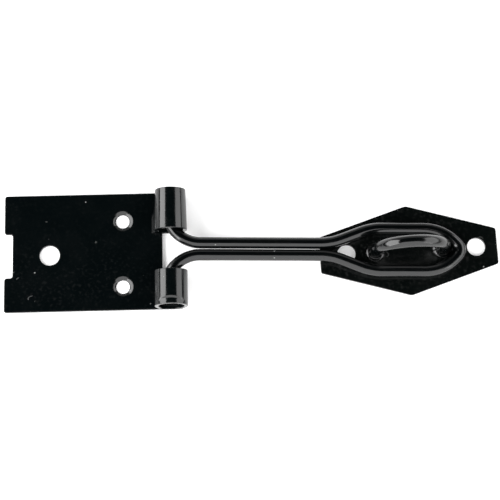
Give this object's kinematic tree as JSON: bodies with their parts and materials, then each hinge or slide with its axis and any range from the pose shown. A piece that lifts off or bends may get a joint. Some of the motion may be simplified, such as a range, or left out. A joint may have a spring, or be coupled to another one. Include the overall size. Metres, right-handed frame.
{
  "type": "wire hasp and staple",
  "caption": "Black enamelled wire hasp on a knuckled hinge plate, with a six-sided staple plate whose arched staple takes a padlock.",
  "frame": {"origin": "centre of the hinge plate's bolt hole, on the plate's flat back face", "axes": "+X from the hinge plate's bolt hole square across to the knuckles and on towards the staple, +Z out of the door along the bolt hole, +Y along the knuckles' axis"},
  "size_m": [0.1624, 0.039, 0.0191],
  "materials": {
    "plate_enamel": "thick glossy black enamel on pressed steel sheet",
    "wire_enamel": "thick glossy black enamel on round steel bar"
  },
  "bodies": {
    "staple_side": {"staple_plate": "plate_enamel", "staple": "wire_enamel"},
    "hinge_side": {"hinge_plate": "plate_enamel"},
    "hasp": {"wire_hasp": "wire_enamel"}
  },
  "joints": [
    {"name": "lift_off_staple", "type": "slide", "parent": "staple_side", "child": "hinge_side", "axis": [0, 0, 1], "range_m": [0, 0.03]},
    {"name": "hasp_swing", "type": "hinge", "parent": "hinge_side", "child": "hasp", "pos_m": [0.0401, 0.00058, 0.0054], "axis": [0, -1, 0], "range_deg": [0, 180]}
  ]
}
